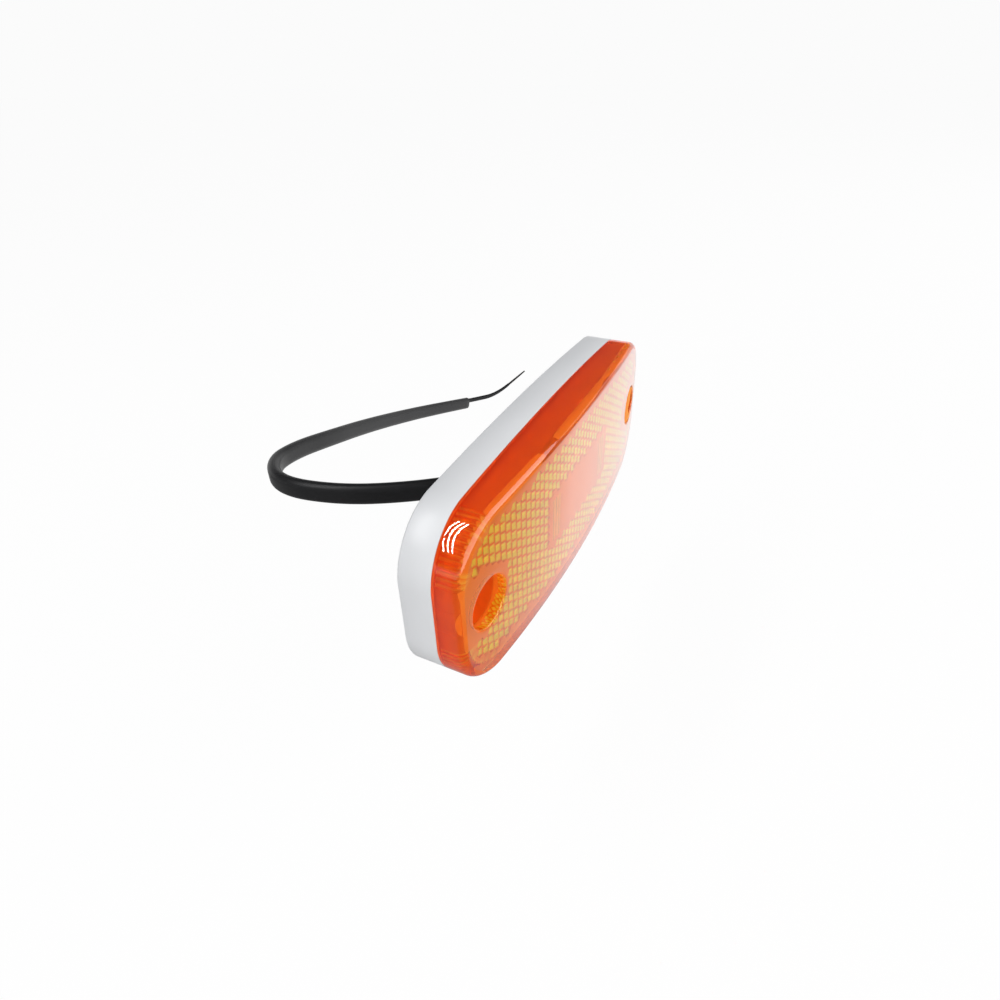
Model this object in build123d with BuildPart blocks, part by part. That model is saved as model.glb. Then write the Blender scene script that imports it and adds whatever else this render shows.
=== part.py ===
"""Amber side marker lamp with a reflex-reflector lens, a tray housing and a flat twin cable.

X runs along the lamp, Z is up and the lens faces -Y. The origin is the middle of the
rear mounting face, between the two screw holes. All sizes are in millimetres.
"""

import os
from math import atan2, cos, hypot, pi, radians, sin, sqrt, tan

from build123d import *

os.makedirs("parts", exist_ok=True)

# Outline shared by the housing and the lens
lamp_length = 107.0
lamp_height = 42.0
corner_radius = 13.6
side_bow = 1.15

# Housing, a tray open to the front
housing_depth = 7.1
housing_wall = 1.8
floor_thickness = 2.0
rear_recess = 1.0
rear_rim = 3.4
rear_edge_radius = 0.5

# Lens, whose face is crowned along the lamp
lens_edge_depth = 5.65
crown_rise = 3.2
lens_wall = 2.8
lens_face = 2.3
edge_radius = 1.6
lip_depth = 1.5
lip_clearance = 0.15

# Screw wells, one at each end
hole_inset = 9.2
screw_hole_radius = 2.65
well_radius = 5.5
well_wall = 1.5
well_edge_radius = 0.4
seat_thickness = 2.0
boss_height = 1.5
rear_pad_margin = 1.0

# Corner-cube reflex cells on the inside of the face
cell_pitch = 2.25
cell_margin = 0.25
cell_root = 0.3

# Flutes on the inside of the lens wall, round each corner
flute_radius = 0.42
flute_pitch = 1.15

# Clear window in front of the light chips, with ridges at its two ends
window_length = 24.8
window_height = 11.0
ridge_count = 3
ridge_pitch = 1.4
ridge_width = 1.2
ridge_height = 0.6
panel_margin = 0.6

# Circuit board and its posts
board_length = 52.0
board_height = 24.0
board_thickness = 1.6
board_lift = 1.1
board_corner = 2.0
post_inset = 3.2
post_radius = 2.0
post_pin_radius = 1.1
post_pin_rise = 0.6
pin_clearance = 0.1

# Parts on the board
chip_count = 4
chip_spacing = 5.0
chip_length = 3.5
chip_width = 2.8
chip_height = 0.7
chip_dome = 0.25
chip_rim = 0.45
chip_clearance = 0.27
resistor_length = 3.2
resistor_width = 1.6
resistor_height = 0.55
resistor_spacing = 11.0
terminal_length = 0.5
terminal_thickness = 0.06
diode_length = 2.7
diode_width = 1.6
diode_height = 1.15
diode_leg = 0.5
diode_leg_thickness = 0.2
capacitor_height = 1.2
parts_row = 7.0

# Flat twin cable
cable_width = 5.3
cable_thickness = 3.2
core_diameter = 2.0
conductor_diameter = 1.1
core_gap = 0.1
sheath_reach = 4.5
core_strip = 0.8
tail_reach = 0.5
board_hole_clearance = 0.1
solder_radius = 0.98
solder_height = 0.8

# Rubber grommet in the floor
grommet_wall = 1.3
grommet_flange = 1.5
grommet_inner = 1.2
grommet_nose = 2.4
grommet_taper = 8.0

# Places along the depth, counted forward from the rear face
floor_front = rear_recess + floor_thickness
seat_back = floor_front + boss_height
seat_front = seat_back + seat_thickness
board_back = housing_depth + board_lift
board_front = board_back + board_thickness
core_reach = board_back - core_strip

# The cable comes in beside the row of light chips
chip_row = (chip_count - 1) * chip_spacing + chip_length
outlet_x = -(chip_row / 2 + chip_clearance + solder_radius)

hole_spacing = lamp_length - 2 * hole_inset
crown_radius = ((lamp_length / 2) ** 2 + crown_rise**2) / (2 * crown_rise)
tower_radius = well_radius + well_wall
cell_radius = cell_pitch / sqrt(3)
core_offset = (core_diameter + core_gap) / 2
window_end = window_length / 2
ridges_end = window_end + ridge_pitch * (ridge_count - 1) + ridge_width
panel_break = ridges_end + panel_margin


def outline(inset):
    """Draw the lamp's outline moved in by inset: bowed long sides, round corners, straight ends."""
    radius = corner_radius - inset
    cx = lamp_length / 2 - corner_radius
    cz = lamp_height / 2 - corner_radius - side_bow
    bow_radius = (cx**2 + side_bow**2) / (2 * side_bow)
    turn = atan2(bow_radius - side_bow, cx)
    side = (cx + radius * cos(turn), cz + radius * sin(turn))
    middle = (cx + radius * cos(turn / 2), cz + radius * sin(turn / 2))
    end = (cx + radius, cz)
    top = lamp_height / 2 - inset
    with BuildLine() as border:
        for way in (1, -1):
            ThreePointArc((-way * side[0], way * side[1]), (0, way * top), (way * side[0], way * side[1]))
            ThreePointArc(
                (way * side[0], way * side[1]), (way * middle[0], way * middle[1]), (way * end[0], way * end[1])
            )
            Line((way * end[0], way * end[1]), (way * end[0], -way * end[1]))
            ThreePointArc(
                (way * end[0], -way * end[1]), (way * middle[0], -way * middle[1]), (way * side[0], -way * side[1])
            )
    make_face(border.edges())


def edge_distance(x, z):
    """Distance in from the outline to a point, which is negative outside it."""
    x, z = abs(x), abs(z)
    cx = lamp_length / 2 - corner_radius
    cz = lamp_height / 2 - corner_radius - side_bow
    if x > cx and z > cz:
        return corner_radius - hypot(x - cx, z - cz)
    bow_radius = (cx**2 + side_bow**2) / (2 * side_bow) + corner_radius
    to_side = bow_radius - hypot(x, z + bow_radius - lamp_height / 2)
    return min(to_side, lamp_length / 2 - x)


def face_y(x):
    """Y of the crowned front face at x."""
    front = housing_depth + lens_edge_depth + crown_rise
    return -front + crown_radius - sqrt(crown_radius**2 - x**2)


def ceiling_y(x):
    """Y of the inside of the face: a flat middle panel between two sloping ones."""
    middle = face_y(panel_break) + lens_face
    run = lamp_length / 2 - panel_break
    slope = (face_y(lamp_length / 2) - face_y(panel_break)) / run
    return middle + slope * max(0.0, abs(x) - panel_break)


def crown_profile(shift):
    """Draw the region behind the crowned face, moved back by shift."""
    reach = lamp_length / 2 + 2
    with BuildLine() as border:
        ThreePointArc(
            (-reach, face_y(reach) + shift), (0, face_y(0) + shift), (reach, face_y(reach) + shift)
        )
        Polyline((reach, face_y(reach) + shift), (reach, 0), (-reach, 0), (-reach, face_y(reach) + shift))
    make_face(border.edges())


well_places = [(-hole_spacing / 2, 0), (hole_spacing / 2, 0)]


# The six corners of a hexagonal cell, in half cell radii along X and half pitches along Z
cell_corners = [(2, 0), (1, 1), (-1, 1), (-2, 0), (-1, -1), (1, -1)]


def lattice_place(across, up):
    """The point that many half cell radii along X and half pitches along Z from the middle."""
    return (across * cell_radius / 2, up * cell_pitch / 2)


def reflex_cells():
    """Lattice steps of the cells that fit between the wall, the wells and the window."""
    columns = int(lamp_length / 2 / (1.5 * cell_radius)) + 1
    rows = int(lamp_height / 2 / cell_pitch) + 1
    cells = []
    for column in range(-columns, columns + 1):
        for row in range(-rows, rows + 1):
            across, up = 3 * column, 2 * row + column % 2
            x, z = lattice_place(across, up)
            from_wall = edge_distance(x, z) - lens_wall - flute_radius
            from_well = hypot(abs(x) - hole_spacing / 2, z) - tower_radius
            from_window = max(abs(x) - ridges_end, abs(z) - window_height / 2)
            if min(from_wall, from_well, from_window) > cell_radius + cell_margin:
                cells.append((across, up))
    return cells


def flat_pieces(points):
    """One polygon where its points lie in a plane, or triangles from its first point."""
    corners = [Vector(*p) for p in points]
    normal = (corners[1] - corners[0]).cross(corners[2] - corners[0]).normalized()
    if all(abs((c - corners[0]).dot(normal)) < 1e-6 for c in corners):
        return [Face(Wire.make_polygon(corners))]
    fans = [[corners[0], corners[k], corners[k + 1]] for k in range(1, len(corners) - 1)]
    return [Face(Wire.make_polygon(fan)) for fan in fans]


def reflex_field():
    """A closed solid of corner cubes: three square faces of a cube meet at each cell's tip.

    Round a cell its six corners stand in turn at half height and at the root, and
    neighbours share them. The root is sunk a little so that it joins the face.
    """
    half_height = cell_radius / sqrt(2)
    faces = []
    edges = {}
    for across, up in reflex_cells():
        steps = [(across + a, up + b) for a, b in cell_corners]
        places = [lattice_place(*step) for step in steps]
        rises = [half_height, 0.0] * 3
        ring = [(x, ceiling_y(x) + rise, z) for (x, z), rise in zip(places, rises)]
        root = [(x, ceiling_y(x) - cell_root, z) for x, z in places]
        x, z = lattice_place(across, up)
        tip = (x, ceiling_y(x) + 2 * half_height, z)
        for k in (0, 2, 4):
            faces += flat_pieces([tip, ring[k], ring[k + 1], ring[(k + 2) % 6]])
        faces += flat_pieces(root)
        for k in range(6):
            after = (k + 1) % 6
            side = frozenset((steps[k], steps[after]))
            if side in edges:
                del edges[side]
            else:
                edges[side] = (ring[k], ring[after], root[after], root[k])
    for wall in edges.values():
        faces += flat_pieces(wall)
    return Solid(Shell(faces))


# Lens cavity: wall thickness all round, fluted corners, panelled ceiling
with BuildPart() as lens_cavity:
    with BuildSketch(Plane.XZ.offset(housing_depth)):
        outline(lens_wall)
        cavity_radius = corner_radius - lens_wall
        flute_step = flute_pitch / cavity_radius
        flutes = int(radians(84) / flute_step)
        for side in (1, -1):
            for top in (1, -1):
                cx = side * (lamp_length / 2 - corner_radius)
                cz = top * (lamp_height / 2 - corner_radius - side_bow)
                for n in range(flutes):
                    angle = pi / 4 + (n - (flutes - 1) / 2) * flute_step
                    with Locations((cx + side * cavity_radius * cos(angle), cz + top * cavity_radius * sin(angle))):
                        Circle(flute_radius, mode=Mode.SUBTRACT)
    extrude(amount=lens_edge_depth + crown_rise)
    with BuildSketch(Plane.XY):
        reach = lamp_length / 2 + 1
        with BuildLine():
            Polyline(
                (-reach, 0),
                (-reach, ceiling_y(reach)),
                (-panel_break, ceiling_y(panel_break)),
                (panel_break, ceiling_y(panel_break)),
                (reach, ceiling_y(reach)),
                (reach, 0),
                close=True,
            )
        make_face()
    extrude(amount=lamp_height, both=True, mode=Mode.INTERSECT)

# Screw towers, whose tops end inside the face
with BuildPart() as towers:
    with BuildSketch(Plane.XZ.offset(seat_back)):
        with Locations(*well_places):
            Circle(tower_radius)
    extrude(amount=housing_depth + lens_edge_depth + crown_rise)
    with BuildSketch(Plane.XY):
        crown_profile(lens_face / 2)
    extrude(amount=lamp_height, both=True, mode=Mode.INTERSECT)

with BuildPart() as reflex:
    add(reflex_field())

with BuildPart() as lens:
    with BuildSketch(Plane.XZ.offset(housing_depth)):
        outline(0)
    extrude(amount=lens_edge_depth + 2 * crown_rise)
    with BuildSketch(Plane.XY):
        crown_profile(0)
    extrude(amount=lamp_height, both=True, mode=Mode.INTERSECT)
    fillet(lens.faces().sort_by(Axis.Y)[0].edges(), radius=edge_radius)
    add(lens_cavity.part, mode=Mode.SUBTRACT)
    with BuildSketch(Plane.XZ.offset(housing_depth - lip_depth)):
        outline(housing_wall + lip_clearance)
    extrude(amount=lip_depth)
    with BuildSketch(Plane.XZ.offset(housing_depth - lip_depth)):
        outline(lens_wall)
    extrude(amount=lip_depth, mode=Mode.SUBTRACT)
    add(towers.part)
    with BuildSketch(Plane.XY):
        for side in (1, -1):
            for n in range(ridge_count):
                middle = side * (window_end + n * ridge_pitch + ridge_width / 2)
                level = ceiling_y(0)
                with BuildLine():
                    Polyline(
                        (middle - ridge_width / 2, level - cell_root),
                        (middle - ridge_width / 2, level),
                        (middle, level + ridge_height),
                        (middle + ridge_width / 2, level),
                        (middle + ridge_width / 2, level - cell_root),
                        close=True,
                    )
                make_face()
    extrude(amount=window_height / 2, both=True)
    with BuildSketch(Plane.XZ.offset(seat_front)):
        with Locations(*well_places):
            Circle(well_radius)
    extrude(amount=housing_depth + lens_edge_depth + crown_rise, mode=Mode.SUBTRACT)
    with BuildSketch(Plane.XZ.offset(seat_back)):
        with Locations(*well_places):
            Circle(screw_hole_radius)
    extrude(amount=seat_thickness, mode=Mode.SUBTRACT)
    well_rims = lens.faces().sort_by(Axis.Y)[0].inner_wires()
    fillet([edge for rim in well_rims for edge in rim.edges()], radius=well_edge_radius)
    add(reflex.part)
lens.part.label = "lens"
export_step(lens.part, "parts/lens.step")

board_posts = [
    (x * (board_length / 2 - post_inset), z * (board_height / 2 - post_inset)) for x in (-1, 1) for z in (-1, 1)
]

# Housing: a tray with screw bosses, board posts and a slot for the cable
with BuildPart() as housing:
    with BuildSketch(Plane.XZ):
        outline(0)
    extrude(amount=housing_depth)
    fillet(housing.faces().sort_by(Axis.Y)[-1].edges(), radius=rear_edge_radius)
    with BuildSketch(Plane.XZ.offset(floor_front)):
        outline(housing_wall)
    extrude(amount=housing_depth - floor_front, mode=Mode.SUBTRACT)
    with BuildSketch(Plane.XZ):
        outline(rear_rim)
        with Locations(*well_places):
            Circle(tower_radius + rear_pad_margin, mode=Mode.SUBTRACT)
    extrude(amount=rear_recess, mode=Mode.SUBTRACT)
    with BuildSketch(Plane.XZ.offset(floor_front)):
        with Locations(*well_places):
            Circle(tower_radius)
    extrude(amount=boss_height)
    with BuildSketch(Plane.XZ.offset(floor_front)):
        with Locations(*board_posts):
            Circle(post_radius)
    extrude(amount=board_back - floor_front)
    with BuildSketch(Plane.XZ.offset(board_back)):
        with Locations(*board_posts):
            Circle(post_pin_radius)
    extrude(amount=board_thickness + post_pin_rise)
    with BuildSketch(Plane.XZ):
        with Locations(*well_places):
            Circle(screw_hole_radius)
    extrude(amount=seat_back, mode=Mode.SUBTRACT)
    with BuildSketch(Plane.XZ):
        with Locations((outlet_x, 0)):
            SlotOverall(cable_width + 2 * grommet_wall, cable_thickness + 2 * grommet_wall, rotation=90)
    extrude(amount=floor_front, mode=Mode.SUBTRACT)
housing.part.label = "housing"
export_step(housing.part, "parts/housing.step")


def cable_section(margin):
    """Draw the cable's flat section, with its width upright, grown by margin."""
    with Locations((outlet_x, 0)):
        SlotOverall(cable_width + 2 * margin, cable_thickness + 2 * margin, rotation=90)


# Grommet: a flange on each side of the floor and a short tapered nose behind
with BuildPart() as grommet:
    with BuildSketch(Plane.XZ):
        cable_section(grommet_wall)
    extrude(amount=floor_front + grommet_inner)
    with BuildSketch(Plane.XZ.offset(floor_front)):
        cable_section(grommet_wall + grommet_flange)
    extrude(amount=grommet_inner)
    with BuildSketch(Plane.XZ):
        cable_section(grommet_wall + grommet_flange)
    extrude(amount=rear_recess)
    with BuildSketch(Plane.XZ):
        cable_section(grommet_wall)
    extrude(amount=-grommet_nose, taper=grommet_taper)
    with BuildSketch(Plane.XZ.offset(-grommet_nose)):
        cable_section(0)
    extrude(amount=grommet_nose + floor_front + grommet_inner, mode=Mode.SUBTRACT)
grommet.part.label = "grommet"
export_step(grommet.part, "parts/grommet.step")

core_places = {"upper": (outlet_x, core_offset), "lower": (outlet_x, -core_offset)}

# Circuit board
with BuildPart() as circuit_board:
    with BuildSketch(Plane.XZ.offset(board_back)):
        RectangleRounded(board_length, board_height, board_corner)
        with Locations(*board_posts):
            Circle(post_pin_radius + pin_clearance, mode=Mode.SUBTRACT)
        with Locations(*core_places.values()):
            Circle(conductor_diameter / 2 + board_hole_clearance, mode=Mode.SUBTRACT)
    extrude(amount=board_thickness)
circuit_board.part.label = "circuit_board"
export_step(circuit_board.part, "parts/circuit_board.step")

# Light chips in a row behind the window: a body with a shallow domed emitter
for n in range(chip_count):
    chip_x = (n - (chip_count - 1) / 2) * chip_spacing
    with BuildPart() as light_chip:
        with BuildSketch(Plane.XZ.offset(board_front)):
            with Locations((chip_x, 0)):
                Rectangle(chip_length, chip_width)
        extrude(amount=chip_height)
        chamfer(light_chip.edges().filter_by(Axis.Y).sort_by(Axis.X)[-1], length=chip_rim)
        with BuildSketch(Plane.XZ.offset(board_front + chip_height)):
            with Locations((chip_x, 0)):
                RectangleRounded(chip_length - 2 * chip_rim, chip_width - 2 * chip_rim, chip_rim)
        extrude(amount=chip_dome, taper=30)
    light_chip.part.label = f"led_{n + 1}"
    export_step(light_chip.part, f"parts/led_{n + 1}.step")


def end_capped_block(place, height):
    """A flat chip part lying along X on the board, with a wrapped terminal at each end."""
    with BuildSketch(Plane.XZ.offset(board_front)) as body:
        with Locations(place):
            Rectangle(resistor_length - 2 * terminal_thickness, resistor_width - 2 * terminal_thickness)
    extrude(body.sketch, amount=height - terminal_thickness)
    with BuildSketch(Plane.XZ.offset(board_front)) as terminals:
        for end in (-1, 1):
            with Locations((place[0] + end * (resistor_length - terminal_length) / 2, place[1])):
                Rectangle(terminal_length, resistor_width)
    extrude(terminals.sketch, amount=height)


for n in range(2):
    with BuildPart() as resistor:
        end_capped_block(((n - 0.5) * resistor_spacing, parts_row), resistor_height)
    resistor.part.label = f"resistor_{n + 1}"
    export_step(resistor.part, f"parts/resistor_{n + 1}.step")

with BuildPart() as capacitor:
    end_capped_block((resistor_spacing / 2, -parts_row), capacitor_height)
capacitor.part.label = "capacitor"
export_step(capacitor.part, "parts/capacitor.step")

# Diode: a moulded body with flat legs that stand on the board
with BuildPart() as diode:
    with BuildSketch(Plane.XZ.offset(board_front + diode_leg_thickness)):
        with Locations((-resistor_spacing / 2, -parts_row)):
            Rectangle(diode_length, diode_width)
    extrude(amount=diode_height - diode_leg_thickness, taper=6)
    with BuildSketch(Plane.XZ.offset(board_front)):
        with Locations((-resistor_spacing / 2, -parts_row)):
            Rectangle(diode_length + 2 * diode_leg, diode_width / 2)
    extrude(amount=diode_leg_thickness)
diode.part.label = "diode"
export_step(diode.part, "parts/diode.step")

# Inner ends of the two cores, their strands through the board and the solder round them
for name, place in core_places.items():
    with BuildPart() as lead:
        with BuildSketch(Plane.XZ.offset(sheath_reach)):
            with Locations(place):
                Circle(core_diameter / 2)
        extrude(amount=core_reach - sheath_reach)
    lead.part.label = f"lead_{name}"
    export_step(lead.part, f"parts/lead_{name}.step")

    with BuildPart() as conductor:
        with BuildSketch(Plane.XZ.offset(core_reach)):
            with Locations(place):
                Circle(conductor_diameter / 2)
        extrude(amount=board_front + solder_height + tail_reach - core_reach)
    conductor.part.label = f"conductor_{name}"
    export_step(conductor.part, f"parts/conductor_{name}.step")

    with BuildPart() as solder:
        with BuildSketch(Plane.XZ.offset(board_front)):
            with Locations(place):
                Circle(solder_radius)
        extrude(amount=solder_height, taper=20)
        with BuildSketch(Plane.XZ.offset(board_front)):
            with Locations(place):
                Circle(conductor_diameter / 2)
        extrude(amount=solder_height, mode=Mode.SUBTRACT)
    solder.part.label = f"solder_{name}"
    export_step(solder.part, f"parts/solder_{name}.step")

# Route of the cable, from its inner end to the cut end of its sheath
sheath_route = [
    (outlet_x, -sheath_reach, 0),
    (outlet_x, 8.5, 0),
    (-20, 20.5, 0),
    (-27.5, 34.5, 0),
    (-30.5, 50.5, 0),
    (-21, 62.5, -2.5),
    (-7.5, 67.5, -6.5),
    (11.5, 72, -13.5),
    (35.5, 78.5, -23),
    (63.5, 84, -34),
    (93, 87, -45),
    (122, 86.5, -55),
]

# Route of the core beyond the sheath, after its first run
core_route = [(142.5, 80.6, -58.4), (152.9, 78.7, -56.85)]
core_first_run = 8.0
bare_length = 14.7


def bend_radii(points):
    """Radius at each inner point: 0.45 of its shorter run over the tangent of half the turn."""
    radii = []
    for a, b, c in zip(points, points[1:], points[2:]):
        before = Vector(*b) - Vector(*a)
        after = Vector(*c) - Vector(*b)
        half_turn = radians(before.get_angle(after)) / 2
        radii.append(0.45 * min(before.length, after.length) / tan(half_turn))
    return radii


def report_route(name, points, radii, path, section_area, volume):
    """Print a cord's bends and compare its volume with its section times its length."""
    print(name, "radii", [round(r, 1) for r in radii], "length", round(path.length, 2))
    print(name, "volume over section times length", round(volume / (section_area * path.length), 4))


with BuildPart() as cable_sheath:
    with BuildLine() as sheath_path:
        FilletPolyline(*sheath_route, radius=bend_radii(sheath_route))
    with BuildSketch(Plane.XZ.offset(sheath_reach)) as sheath_section:
        cable_section(0)
    sweep(path=sheath_path.wires()[0])
cable_sheath.part.label = "cable_sheath"
export_step(cable_sheath.part, "parts/cable_sheath.step")
report_route(
    "cable_sheath",
    sheath_route,
    bend_radii(sheath_route),
    sheath_path.wires()[0],
    sheath_section.sketch.area,
    cable_sheath.part.volume,
)

# One core goes on from the upper half of the cut end, and ends in bared strands
sheath_end = Vector(*sheath_route[-1])
end_way = (sheath_end - Vector(*sheath_route[-2])).normalized()
end_up = (Vector(0, 0, 1) - end_way * end_way.Z).normalized()
core_start = sheath_end + end_up * core_offset
core_points = [tuple(core_start), tuple(core_start + end_way * core_first_run)] + core_route

with BuildPart() as core:
    with BuildLine() as core_path:
        FilletPolyline(*core_points, radius=bend_radii(core_points))
    with BuildSketch(Plane(origin=core_start, z_dir=end_way)):
        Circle(core_diameter / 2)
    sweep(path=core_path.wires()[0])
core.part.label = "core"
export_step(core.part, "parts/core.step")
report_route(
    "core",
    core_points,
    bend_radii(core_points),
    core_path.wires()[0],
    pi * core_diameter**2 / 4,
    core.part.volume,
)

core_end = Vector(*core_points[-1])
with BuildPart() as bare_end:
    with BuildSketch(Plane(origin=core_end, z_dir=core_end - Vector(*core_points[-2]))):
        Circle(conductor_diameter / 2)
    extrude(amount=bare_length)
bare_end.part.label = "bare_end"
export_step(bare_end.part, "parts/bare_end.step")
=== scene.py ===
"""Amber side marker lamp: reflex lens, light grey tray housing and a flat twin cable.

Metres throughout. X runs along the lamp, Z is up and the lens faces -Y. The rear mounting
face lies on y = 0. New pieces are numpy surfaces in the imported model's own frame.
"""

from math import atan2, cos, pi, radians, sin, sqrt, tan

import bmesh
import bpy
import numpy as np
from mathutils import Matrix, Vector
from mathutils.geometry import delaunay_2d_cdt


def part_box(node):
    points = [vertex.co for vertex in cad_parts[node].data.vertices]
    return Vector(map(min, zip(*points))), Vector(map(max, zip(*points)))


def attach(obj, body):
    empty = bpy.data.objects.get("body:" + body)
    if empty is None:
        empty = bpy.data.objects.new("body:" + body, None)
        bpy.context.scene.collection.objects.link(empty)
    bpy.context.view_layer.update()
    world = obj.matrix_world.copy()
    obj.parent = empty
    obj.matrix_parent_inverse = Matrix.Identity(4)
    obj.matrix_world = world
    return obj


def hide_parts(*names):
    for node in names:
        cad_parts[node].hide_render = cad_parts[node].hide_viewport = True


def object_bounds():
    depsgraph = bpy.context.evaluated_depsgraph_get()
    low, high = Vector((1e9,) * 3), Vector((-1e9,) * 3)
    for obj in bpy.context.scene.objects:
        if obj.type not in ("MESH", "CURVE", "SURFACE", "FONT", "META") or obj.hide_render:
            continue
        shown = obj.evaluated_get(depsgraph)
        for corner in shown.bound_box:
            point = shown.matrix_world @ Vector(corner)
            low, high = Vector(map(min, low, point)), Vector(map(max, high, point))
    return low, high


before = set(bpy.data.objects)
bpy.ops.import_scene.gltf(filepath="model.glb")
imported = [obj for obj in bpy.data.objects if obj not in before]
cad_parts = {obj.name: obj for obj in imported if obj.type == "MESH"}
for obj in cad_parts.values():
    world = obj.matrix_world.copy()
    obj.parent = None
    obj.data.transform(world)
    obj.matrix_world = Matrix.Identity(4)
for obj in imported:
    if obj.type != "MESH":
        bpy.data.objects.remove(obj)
cad_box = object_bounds()
mm = 0.001

# Outline shared by the housing and the lens
housing_low, housing_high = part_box("housing")
lens_low, lens_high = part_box("lens")
lamp_length = housing_high.x - housing_low.x
lamp_height = housing_high.z - housing_low.z
corner_radius = 13.6 * mm
side_bow = 1.15 * mm
corner_x = lamp_length / 2 - corner_radius
corner_z = lamp_height / 2 - corner_radius - side_bow
bow_radius = (corner_x**2 + side_bow**2) / (2 * side_bow) + corner_radius

# Small edges and gaps shared by the pieces
break_radius = 0.14 * mm
break_middle = 0.3 * break_radius
joint_gap = 0.03 * mm
merge_distance = 0.002 * mm

# Lens
seam_y = -7.1 * mm
wall_row_rise = 2.0 * mm
wall_row_y = (seam_y + lens_high.y) / 2 - wall_row_rise
crown_rise = 3.2 * mm
lens_wall = 2.8 * mm
lens_face = 2.3 * mm
edge_radius = 1.6 * mm
lip_depth = 1.5 * mm
lip_inset = 1.95 * mm
flute_radius = 0.42 * mm
flute_pitch = 1.15 * mm
flute_span = radians(84)

# Colour depth of the lens surfaces, from 0 for pale to 1 for deep amber, and the bores' frost
face_tint = 0.0
wall_tint = 0.8
well_tint = 0.7
bore_tint = 0.7
ceiling_tint = 0.7
inside_tint = 0.75
# Flute crests are painted paler than the rest of the inside: painted highlight lines along the
# corners
painted_flute_highlight = 0.16
tower_tint = 0.8
ridge_tint = 0.66
# Cell tips painted pale against deep roots: a painted highlight for the bright dot each cell throws
# back
painted_tip_highlight_tint = 0.0
cell_root_tint = 0.85
bore_frost = 0.7

# Screw wells
hole_inset = 9.2 * mm
well_x = lamp_length / 2 - hole_inset
hole_radius = 2.65 * mm
well_radius = 5.5 * mm
well_rim = 0.4 * mm
tower_radius = 7.0 * mm
seat_back_y = -4.5 * mm
seat_front_y = -6.5 * mm
seat_break = 0.3 * mm

# Reflex cells and the clear window
cell_pitch = 2.25 * mm
cell_radius = cell_pitch / sqrt(3)
cell_margin = 0.25 * mm
window_end = 12.4 * mm
window_height = 11.0 * mm
ridge_count = 3
ridge_pitch = 1.4 * mm
ridge_width = 1.2 * mm
ridge_height = 0.6 * mm
ridges_end = window_end + ridge_pitch * (ridge_count - 1) + ridge_width
panel_margin = 0.6 * mm
panel_break = ridges_end + panel_margin

# Housing
housing_wall = 1.8 * mm
floor_front_y = -3.0 * mm
recess_y = -1.0 * mm
rear_rim = 3.4 * mm
rear_edge_radius = 0.5 * mm
pad_radius = 8.0 * mm
post_x = 22.8 * mm
post_z = 8.8 * mm
post_places = [(x, z) for x in (-post_x, post_x) for z in (-post_z, post_z)]
post_radius = 2.0 * mm
pin_radius = 1.1 * mm
board_back_y = -8.2 * mm
pin_end_y = housing_low.y
centre_radius = 0.001 * mm

# Cable, grommet and core
cable_width = 5.3 * mm
cable_thickness = 3.2 * mm
grommet_wall = 1.3 * mm
grommet_flange = 1.5 * mm
grommet_taper = radians(8)
grommet_low, grommet_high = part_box("grommet")
outlet_x = (grommet_low.x + grommet_high.x) / 2
core_diameter = 2.0 * mm
core_offset = 1.05 * mm
core_first_run = 8.0 * mm
core_taper = 0.62
sheath_rounding = 0.15 * mm
core_rounding = 0.1 * mm
bare_length = 14.7 * mm
bare_diameter = 1.1 * mm
strand_count = 7
strand_turns = 1.6
strand_draw = 0.55
strand_rounding = 0.03 * mm
sheath_route = mm * np.array(
    [
        (-10.5, -4.5, 0),
        (-10.5, 8.5, 0),
        (-20, 20.5, 0),
        (-27.5, 34.5, 0),
        (-30.5, 50.5, 0),
        (-21, 62.5, -2.5),
        (-7.5, 67.5, -6.5),
        (11.5, 72, -13.5),
        (35.5, 78.5, -23),
        (63.5, 84, -34),
        (93, 87, -45),
        (122, 86.5, -55),
    ]
)
core_bends = mm * np.array([(142.5, 80.6, -58.4), (152.9, 78.7, -56.85)])

# Mesh density
corner_steps = 130
side_steps = 80
end_steps = 12
split_steps = 9
face_rows = 36
face_rings = 14
edge_rows = 9
quarter_rows = 6
boss_steps = 96
post_steps = 40
slot_steps = 24
grommet_steps = 32
sheath_steps = 20
core_steps = 28
strand_steps = 10
strand_rows = 60


# Surfaces


def grid_faces(rows, columns, wrap):
    """Quads between neighbouring rows and columns of a grid, closed into a ring where wrap."""
    index = np.arange(rows * columns).reshape(rows, columns)
    after = np.roll(index, -1, axis=1)
    if not wrap:
        index, after = index[:, :-1], after[:, :-1]
    return np.stack((index[:-1], after[:-1], after[1:], index[1:]), -1).reshape(-1, 4)


def sheet(points, wrap=False):
    """A grid of points, rows by columns by three, as a surface: its points and its faces."""
    rows, columns = points.shape[:2]
    return points.reshape(-1, 3), grid_faces(rows, columns, wrap).tolist()


def raised(xz, height):
    """Points (x, z) given a y, which is a number, one for each point, or a function of x."""
    x, z = xz[..., 0], xz[..., 1]
    y = height(x) if callable(height) else np.broadcast_to(height, x.shape)
    return np.stack((x, y, z), -1)


def unit(vector):
    """The vector divided by its length."""
    return vector / np.linalg.norm(vector)


def upright(way):
    """The direction nearest to Z that is square to a unit direction."""
    return unit(np.array((0, 0, 1.0)) - way * way[2])


def mirrored(surface):
    """The same surface with X turned round."""
    points, faces = surface
    return points * (-1, 1, 1), [face[::-1] for face in faces]


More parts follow.
